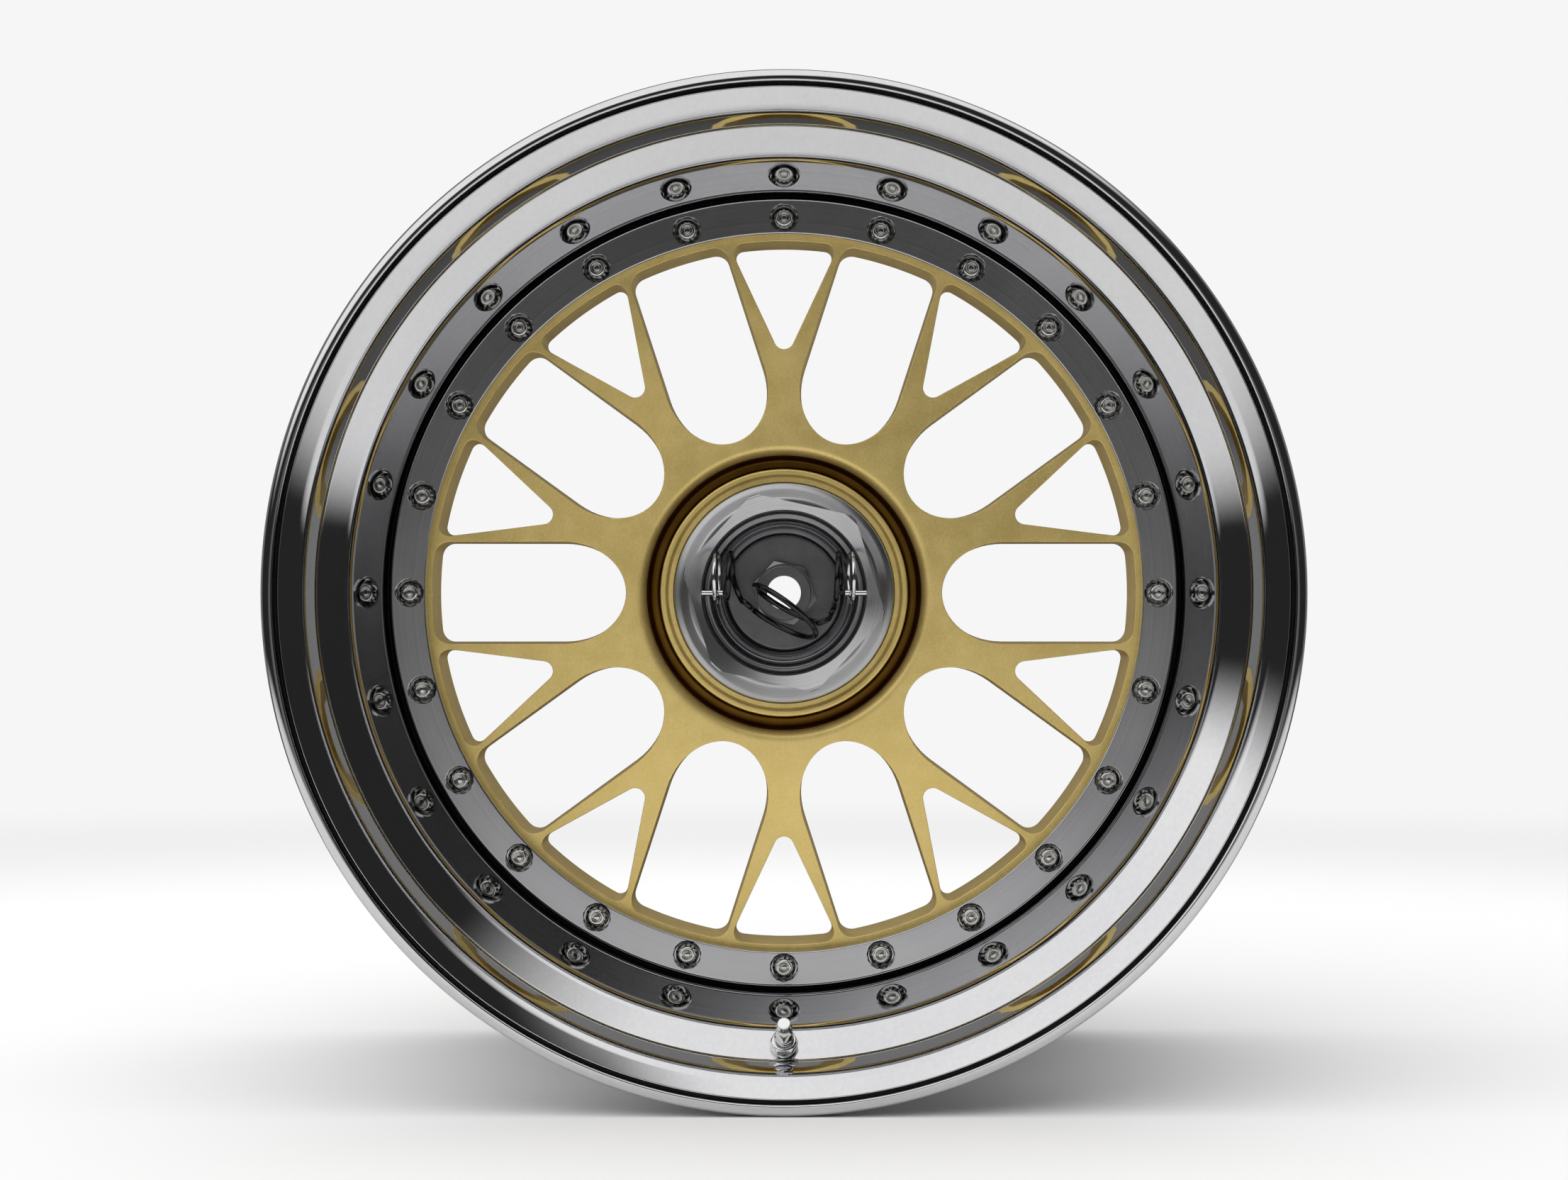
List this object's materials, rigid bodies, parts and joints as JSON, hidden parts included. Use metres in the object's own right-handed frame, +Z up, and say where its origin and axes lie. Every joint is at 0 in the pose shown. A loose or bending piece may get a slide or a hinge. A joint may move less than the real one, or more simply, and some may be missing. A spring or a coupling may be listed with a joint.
{
  "type": "racing wheel rim",
  "caption": "Deep-dish three-piece forged racing wheel rim with forked mesh spokes, a bolted outer lip, a centre-lock nut with a spring safety clip, and a tyre valve.",
  "frame": {"origin": "on the axle at mid-width", "axes": "+Y along the axle towards the car, the front faces -Y; +Z up, with the valve at the bottom"},
  "size_m": [0.496, 0.306, 0.496],
  "materials": {
    "polished_aluminium": "mirror polished",
    "gold_forging": "satin gold over fine blasted forging",
    "nut_steel": "turned and satin plated",
    "hub_steel": "turned",
    "dark_steel": "black oxide, satin",
    "bolt_steel": "plated",
    "chrome_trim": "polished",
    "black_wire": "gloss black",
    "black_rubber": "matt",
    "sealant": "matt"
  },
  "bodies": {
    "wheel": {"outer_lip": "polished_aluminium", "inner_barrel": "polished_aluminium", "rim_seal": "sealant", "centre_disc": "gold_forging", "rim_bolt_01": "bolt_steel", "rim_bolt_02": "bolt_steel", "rim_bolt_03": "bolt_steel", "rim_bolt_04": "bolt_steel", "rim_bolt_05": "bolt_steel", "rim_bolt_06": "bolt_steel", "rim_bolt_07": "bolt_steel", "rim_bolt_08": "bolt_steel", "rim_bolt_09": "bolt_steel", "rim_bolt_10": "bolt_steel", "rim_bolt_11": "bolt_steel", "rim_bolt_12": "bolt_steel", "rim_bolt_13": "bolt_steel", "rim_bolt_14": "bolt_steel", "rim_bolt_15": "bolt_steel", "rim_bolt_16": "bolt_steel", "rim_bolt_17": "bolt_steel", "rim_bolt_18": "bolt_steel", "rim_bolt_19": "bolt_steel", "rim_bolt_20": "bolt_steel", "rim_bolt_21": "bolt_steel", "rim_bolt_22": "bolt_steel", "rim_bolt_23": "bolt_steel", "rim_bolt_24": "bolt_steel", "taper_seat": "hub_steel", "drive_bush_1": "hub_steel", "drive_bush_2": "hub_steel", "drive_bush_3": "hub_steel", "drive_bush_4": "hub_steel", "drive_bush_5": "hub_steel", "spindle": "dark_steel", "spindle_plug": "dark_steel", "plug_nut": "dark_steel", "valve_stem": "chrome_trim", "valve_grommet": "black_rubber", "valve_washer": "chrome_trim", "valve_nut": "chrome_trim", "valve_core": "bolt_steel"},
    "cone": {"thrust_cone": "hub_steel"},
    "nut": {"wheel_nut": "nut_steel", "guard_ring": "black_rubber", "clip_spring": "black_wire"},
    "pin_left": {"lock_pin_left": "chrome_trim"},
    "pin_right": {"lock_pin_right": "chrome_trim"},
    "ring_left": {"pull_ring_left": "chrome_trim"},
    "ring_right": {"pull_ring_right": "chrome_trim"},
    "valve_pin": {"valve_core_pin": "chrome_trim"},
    "cap_seal": {"valve_cap_seal": "black_rubber"},
    "cap": {"valve_cap": "chrome_trim"}
  },
  "joints": [
    {"name": "nut_travel", "type": "slide", "parent": "wheel", "child": "cone", "axis": [0, -1, 0], "range_m": [0, 0.025]},
    {"name": "nut_turn", "type": "hinge", "parent": "cone", "child": "nut", "pos_m": [0, -0.065, 0], "axis": [0, -1, 0], "range_deg": [0, 1800]},
    {"name": "pin_left_draw", "type": "slide", "parent": "nut", "child": "pin_left", "axis": [1, 0, 0], "range_m": [0, 0.006], "stiffness_N_per_m": 600, "springref_m": -0.004, "deforming": ["clip_spring"]},
    {"name": "pin_right_draw", "type": "slide", "parent": "nut", "child": "pin_right", "axis": [-1, 0, 0], "range_m": [0, 0.006], "stiffness_N_per_m": 600, "springref_m": -0.004},
    {"name": "ring_left_swing", "type": "hinge", "parent": "pin_left", "child": "ring_left", "pos_m": [-0.0335, -0.072, 0], "axis": [1, 0, 0], "range_deg": [0, 110]},
    {"name": "ring_right_swing", "type": "hinge", "parent": "pin_right", "child": "ring_right", "pos_m": [0.0335, -0.072, 0], "axis": [1, 0, 0], "range_deg": [0, 110]},
    {"name": "cap_travel", "type": "slide", "parent": "wheel", "child": "cap_seal", "axis": [0, -0.8425, 0.5387], "range_m": [0, 0.00478]},
    {"name": "cap_turn", "type": "hinge", "parent": "cap_seal", "child": "cap", "pos_m": [0, -0.1177, -0.2195], "axis": [0, -0.8425, 0.5387], "range_deg": [0, 2160]},
    {"name": "valve_pin_press", "type": "slide", "parent": "wheel", "child": "valve_pin", "axis": [0, 0.8425, -0.5387], "range_m": [0, 0.0012], "stiffness_N_per_m": 400, "springref_m": -0.001}
  ],
  "couplings": [
    {"joint": "nut_travel", "follows": "nut_turn", "m_per_rad": 0.000795},
    {"joint": "pin_right_draw", "follows": "pin_left_draw", "ratio": 1},
    {"joint": "cap_turn", "follows": "cap_travel", "rad_per_m": 7874}
  ]
}
